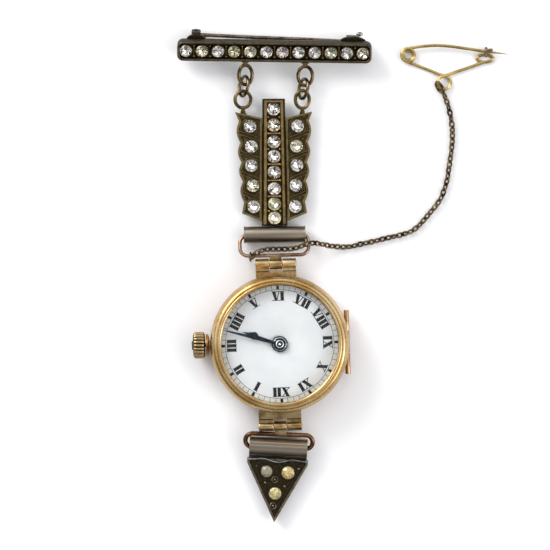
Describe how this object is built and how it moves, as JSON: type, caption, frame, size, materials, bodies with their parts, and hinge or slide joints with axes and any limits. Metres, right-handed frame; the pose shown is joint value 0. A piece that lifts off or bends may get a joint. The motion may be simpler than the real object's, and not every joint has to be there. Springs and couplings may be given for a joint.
{
  "type": "fob watch",
  "caption": "Round open-faced fob watch hung by wire links from a feathered paste plaque on a bar brooch, with a triangular drop and a safety chain with pin.",
  "frame": {"origin": "centre of the watch's resting box without its safety chain and safety pin, on the surface that it lies on", "axes": "+X right as seen from the dial side with the brooch at the top, +Y along the hanging line towards the brooch, +Z out of the dial"},
  "size_m": [0.0689, 0.1024, 0.0091],
  "materials": {
    "dark_silver": "oxidised, worn to brass on its edges",
    "dark_brass": "aged",
    "rose_gold": "polished, lightly worn",
    "link_gold": "satin",
    "pin_gold": "polished",
    "silver": "satin",
    "steel": "polished",
    "brass": "fine satin",
    "nickel_plate": "satin",
    "blued_steel": "polished",
    "enamel": "gloss",
    "crystal": "polished",
    "paste": "faceted"
  },
  "bodies": {
    "brooch": {"brooch_bar": "dark_silver", "brooch_stones": "paste", "pin_joint": "dark_silver", "bar_catch": "dark_silver", "bar_loop_left": "dark_brass", "bar_loop_right": "dark_brass"},
    "brooch_pin": {"brooch_pin": "steel"},
    "catch_lever": {"catch_lever": "dark_silver"},
    "rings": {"ring_left": "dark_brass", "ring_right": "dark_brass"},
    "plaque": {"plaque_column": "dark_silver", "wing_left": "dark_silver", "wing_right": "dark_silver", "stones_centre": "paste", "stones_left": "paste", "stones_right": "paste", "plaque_tube": "silver"},
    "upper_link": {"upper_link": "link_gold"},
    "safety_chain": {"safety_chain": "dark_brass", "safety_pin_frame": "pin_gold"},
    "safety_pin_stem": {"safety_pin_stem": "pin_gold"},
    "watch": {"case_band": "rose_gold", "bezel": "rose_gold", "crystal": "crystal", "dial": "enamel", "upper_hinge_pin": "rose_gold", "lower_hinge_pin": "rose_gold", "case_hinge_pin": "rose_gold", "crown_tube": "rose_gold", "main_plate": "nickel_plate", "barrel_bridge": "nickel_plate", "train_bridge": "nickel_plate", "pallet_bridge": "nickel_plate", "balance_cock": "nickel_plate", "hairspring": "steel"},
    "case_back": {"case_back": "rose_gold"},
    "sliding_pinion": {"sliding_pinion": "steel"},
    "crown": {"winding_stem": "steel", "crown": "rose_gold"},
    "setting_lever": {"setting_lever": "steel"},
    "crown_wheel": {"crown_wheel": "steel"},
    "ratchet_wheel": {"ratchet_wheel": "steel"},
    "click": {"click": "steel"},
    "barrel": {"mainspring_barrel": "brass", "mainspring": "steel"},
    "centre": {"centre_wheel": "brass", "cannon_pinion": "steel", "minute_hand": "blued_steel"},
    "third_wheel": {"third_wheel": "brass"},
    "fourth_wheel": {"fourth_wheel": "brass"},
    "escape_wheel": {"escape_wheel": "brass"},
    "minute_wheel": {"minute_wheel": "brass"},
    "hour": {"hour_wheel": "brass", "hour_hand": "blued_steel"},
    "pallet_fork": {"pallet_fork": "steel"},
    "balance_wheel": {"balance_wheel": "brass"},
    "lower_link": {"lower_link": "link_gold"},
    "drop": {"drop_plate": "dark_silver", "drop_tube": "silver", "drop_stones": "paste"}
  },
  "joints": [
    {"name": "pin_open", "type": "hinge", "parent": "brooch", "child": "brooch_pin", "pos_m": [-0.01625, 0.04995, 0.00181], "axis": [0.0138, 0.9396, 0.342], "range_deg": [0, 90]},
    {"name": "catch_turn", "type": "hinge", "parent": "brooch", "child": "catch_lever", "pos_m": [0.01704, 0.04876, 0.00156], "axis": [-0.9999, 0.0147, 0], "range_deg": [0, 90]},
    {"name": "rings_swing", "type": "hinge", "parent": "brooch", "child": "rings", "pos_m": [0, 0.03948, 0.0023], "axis": [1, 0, 0], "range_deg": [-25, 25]},
    {"name": "plaque_swing", "type": "hinge", "parent": "rings", "child": "plaque", "pos_m": [-0.0003, 0.03826, 0.00195], "axis": [-1, -0.0087, 0], "range_deg": [-40, 40]},
    {"name": "upper_link_swing", "type": "hinge", "parent": "plaque", "child": "upper_link", "pos_m": [0.00004, 0.00849, 0.0019], "axis": [0.9996, 0.0279, 0], "range_deg": [-45, 45]},
    {"name": "chain_swing", "type": "hinge", "parent": "upper_link", "child": "safety_chain", "pos_m": [0.00016, 0.00414, 0.00314], "axis": [0.9996, 0.0279, 0], "range_deg": [0, 20]},
    {"name": "safety_pin_press", "type": "hinge", "parent": "safety_chain", "child": "safety_pin_stem", "pos_m": [0.02775, 0.04578, 0.001], "axis": [0, 0, -1], "range_deg": [0, 18], "stiffness_Nm_per_rad": 0.00002},
    {"name": "upper_hinge", "type": "hinge", "parent": "upper_link", "child": "watch", "pos_m": [0.00029, 0.00236, 0.0036], "axis": [-0.9996, -0.0279, 0], "range_deg": [-60, 75]},
    {"name": "case_back_open", "type": "hinge", "parent": "watch", "child": "case_back", "pos_m": [0.01509, -0.01379, 0.00225], "axis": [0.0279, -0.9996, 0], "range_deg": [0, 100]},
    {"name": "crown_turn", "type": "hinge", "parent": "watch", "child": "sliding_pinion", "pos_m": [-0.0168, -0.01451, 0.0039], "axis": [-0.9996, -0.0279, 0], "continuous": true},
    {"name": "crown_pull", "type": "slide", "parent": "sliding_pinion", "child": "crown", "axis": [-0.9996, -0.0279, 0], "range_m": [0, 0.0008]},
    {"name": "setting_lever_turn", "type": "hinge", "parent": "watch", "child": "setting_lever", "pos_m": [-0.0078, -0.01783, 0.004], "axis": [0, 0, 1], "range_deg": [0, 15.1]},
    {"name": "crown_wheel_turn", "type": "hinge", "parent": "watch", "child": "crown_wheel", "pos_m": [-0.0073, -0.01425, 0.0025], "axis": [0, 0, 1], "continuous": true},
    {"name": "ratchet_turn", "type": "hinge", "parent": "watch", "child": "ratchet_wheel", "pos_m": [-0.00247, -0.00938, 0.0025], "axis": [0, 0, 1], "continuous": true},
    {"name": "click_rock", "type": "hinge", "parent": "watch", "child": "click", "pos_m": [-0.00012, -0.00504, 0.0025], "axis": [0, 0, -1], "range_deg": [0, 8], "stiffness_Nm_per_rad": 0.0000001},
    {"name": "hands_turn", "type": "hinge", "parent": "watch", "child": "centre", "pos_m": [0.0011, -0.01418, 0.004], "axis": [0, 0, -1], "continuous": true},
    {"name": "barrel_turn", "type": "hinge", "parent": "watch", "child": "barrel", "pos_m": [-0.00247, -0.00938, 0.003], "axis": [0, 0, -1], "continuous": true},
    {"name": "third_turn", "type": "hinge", "parent": "watch", "child": "third_wheel", "pos_m": [0.00531, -0.01251, 0.003], "axis": [0, 0, -1], "continuous": true},
    {"name": "fourth_turn", "type": "hinge", "parent": "watch", "child": "fourth_wheel", "pos_m": [0.0072, -0.01558, 0.003], "axis": [0, 0, -1], "continuous": true},
    {"name": "escape_turn", "type": "hinge", "parent": "watch", "child": "escape_wheel", "pos_m": [0.00534, -0.01792, 0.003], "axis": [0, 0, -1], "continuous": true},
    {"name": "minute_wheel_turn", "type": "hinge", "parent": "watch", "child": "minute_wheel", "pos_m": [0.00116, -0.01621, 0.005], "axis": [0, 0, -1], "continuous": true},
    {"name": "hour_turn", "type": "hinge", "parent": "watch", "child": "hour", "pos_m": [0.0011, -0.01418, 0.004], "axis": [0, 0, -1], "continuous": true},
    {"name": "pallet_rock", "type": "hinge", "parent": "watch", "child": "pallet_fork", "pos_m": [0.00307, -0.01878, 0.0035], "axis": [0, 0, 1], "range_deg": [-5, 5]},
    {"name": "balance_swing", "type": "hinge", "parent": "watch", "child": "balance_wheel", "pos_m": [0.00008, -0.02061, 0.0025], "axis": [0, 0, 1], "range_deg": [-135, 135], "stiffness_Nm_per_rad": 0.00000044},
    {"name": "lower_hinge", "type": "hinge", "parent": "watch", "child": "lower_link", "pos_m": [0.00123, -0.03122, 0.0036], "axis": [0.9996, 0.0279, 0], "range_deg": [-60, 60]},
    {"name": "drop_swing", "type": "hinge", "parent": "lower_link", "child": "drop", "pos_m": [0.00081, -0.0358, 0.0023], "axis": [-0.9984, 0.0558, 0], "range_deg": [-60, 60]}
  ],
  "couplings": [
    {"joint": "setting_lever_turn", "follows": "crown_pull", "rad_per_m": 327.25},
    {"joint": "crown_wheel_turn", "follows": "crown_turn", "ratio": 0.5},
    {"joint": "ratchet_turn", "follows": "crown_turn", "ratio": -0.375},
    {"joint": "barrel_turn", "follows": "hands_turn", "ratio": -0.125},
    {"joint": "third_turn", "follows": "hands_turn", "ratio": -8},
    {"joint": "fourth_turn", "follows": "hands_turn", "ratio": 60},
    {"joint": "escape_turn", "follows": "hands_turn", "ratio": -600},
    {"joint": "minute_wheel_turn", "follows": "hands_turn", "ratio": -0.33333},
    {"joint": "hour_turn", "follows": "hands_turn", "ratio": 0.083333}
  ]
}
